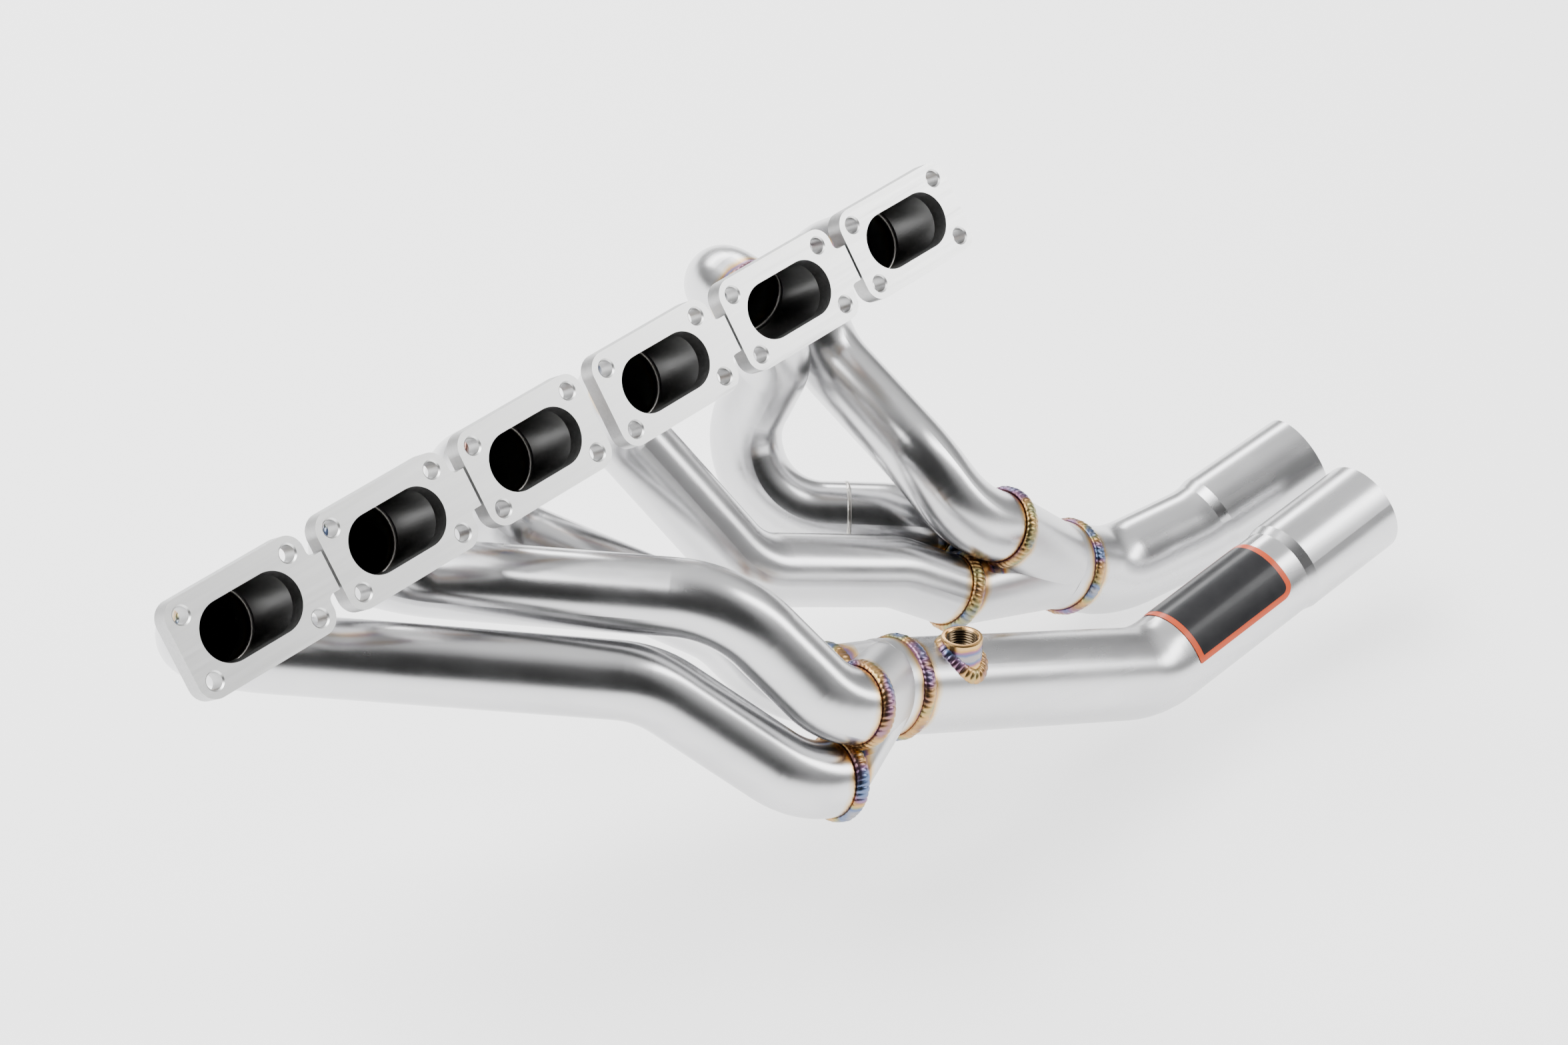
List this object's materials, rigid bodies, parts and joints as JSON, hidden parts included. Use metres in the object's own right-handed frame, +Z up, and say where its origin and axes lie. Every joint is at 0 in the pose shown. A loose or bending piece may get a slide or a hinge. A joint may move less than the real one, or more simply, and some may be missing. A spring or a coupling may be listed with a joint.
{
  "type": "tubular exhaust header set",
  "caption": "Stainless tubular exhaust headers for an in-line engine: oval port flanges, bent primaries, merge collectors and outlets with expanded ends.",
  "frame": {"origin": "point on the first port face, above its opening", "axes": "+X along the port row towards the rear outlets, +Z up, with the port faces turned 36 degrees above the horizontal towards -Y"},
  "size_m": [0.7532, 0.2815, 0.3063],
  "materials": {
    "milled_steel": "milled and brushed",
    "stub_steel": "formed, satin",
    "tube_steel": "polished stainless tube",
    "collector_steel": "formed stainless sheet, satin",
    "weld_bead": "heat tinted bead",
    "boss_steel": "turned, heat tinted straw",
    "label": "gloss foil label with red edge"
  },
  "bodies": {
    "root": {"port_flange_1": "milled_steel", "port_stub_1": "stub_steel", "primary_1": "tube_steel", "flange_weld_1": "weld_bead", "stub_weld_1": "weld_bead", "collector_weld_1": "weld_bead", "port_flange_2": "milled_steel", "port_stub_2": "stub_steel", "primary_2": "tube_steel", "flange_weld_2": "weld_bead", "stub_weld_2": "weld_bead", "collector_weld_2": "weld_bead", "port_flange_3": "milled_steel", "port_stub_3": "stub_steel", "primary_3": "tube_steel", "flange_weld_3": "weld_bead", "stub_weld_3": "weld_bead", "collector_weld_3": "weld_bead", "port_flange_4": "milled_steel", "port_stub_4": "stub_steel", "primary_4": "tube_steel", "flange_weld_4": "weld_bead", "stub_weld_4": "weld_bead", "collector_weld_4": "weld_bead", "port_flange_5": "milled_steel", "port_stub_5": "stub_steel", "primary_5": "tube_steel", "flange_weld_5": "weld_bead", "stub_weld_5": "weld_bead", "collector_weld_5": "weld_bead", "port_flange_6": "milled_steel", "port_stub_6": "stub_steel", "primary_6": "tube_steel", "flange_weld_6": "weld_bead", "stub_weld_6": "weld_bead", "collector_weld_6": "weld_bead", "front_collector": "collector_steel", "rear_collector": "collector_steel", "front_outlet_weld": "weld_bead", "rear_outlet_weld": "weld_bead", "front_outlet": "tube_steel", "rear_outlet": "tube_steel", "sensor_boss": "boss_steel", "boss_weld": "weld_bead", "outlet_label": "label"}
  },
  "joints": []
}
